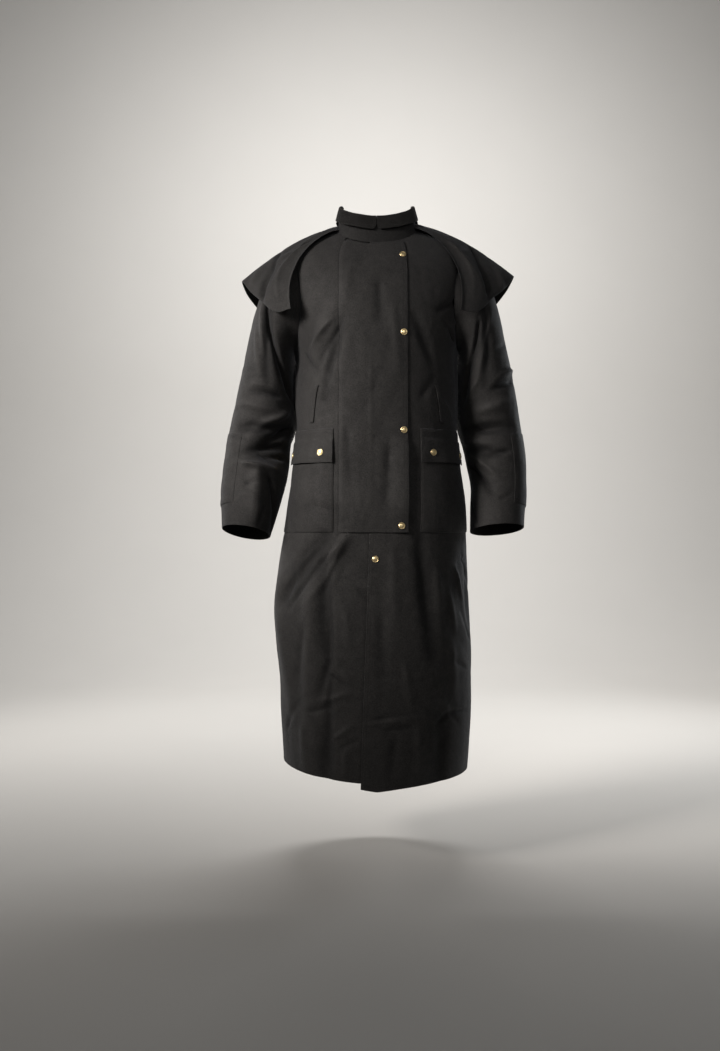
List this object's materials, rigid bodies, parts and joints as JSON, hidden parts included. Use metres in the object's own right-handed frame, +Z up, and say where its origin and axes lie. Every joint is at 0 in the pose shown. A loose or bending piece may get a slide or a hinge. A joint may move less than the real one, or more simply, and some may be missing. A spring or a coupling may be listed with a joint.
{
  "type": "duster coat",
  "caption": "Full-length black waxed-cotton duster coat, filled out as if worn, with shoulder cape, storm flap, patch pockets and brass snaps.",
  "frame": {"origin": "centre of the neck base, level with the sides of the neckline, where the wearer's neck and shoulders hold the coat", "axes": "+Z up along the coat, -Y the way its front faces, +X to the wearer's left"},
  "size_m": [0.6971, 0.3706, 1.2918],
  "materials": {
    "waxed_cotton": "black waxed cotton, soft sheen on its ridges",
    "ribbed_cotton": "black ribbed cotton with a short nap",
    "brass": "polished, lightly worn"
  },
  "bodies": {
    "root": {"back": "waxed_cotton", "front_right": "waxed_cotton", "front_left": "waxed_cotton", "storm_flap": "waxed_cotton", "collar_stand": "waxed_cotton", "collar_fall": "ribbed_cotton", "cape": "waxed_cotton", "sleeve_right": "waxed_cotton", "sleeve_left": "waxed_cotton", "forearm_patch_right": "waxed_cotton", "forearm_patch_left": "waxed_cotton", "pocket_right": "waxed_cotton", "pocket_left": "waxed_cotton", "pocket_flap_right": "waxed_cotton", "pocket_flap_left": "waxed_cotton", "welt_right": "waxed_cotton", "welt_left": "waxed_cotton", "snap_flap_1": "brass", "snap_flap_2": "brass", "snap_flap_3": "brass", "snap_flap_4": "brass", "snap_front": "brass", "snap_pocket_right_1": "brass", "snap_pocket_right_2": "brass", "snap_pocket_left_1": "brass", "snap_pocket_left_2": "brass"}
  },
  "joints": []
}
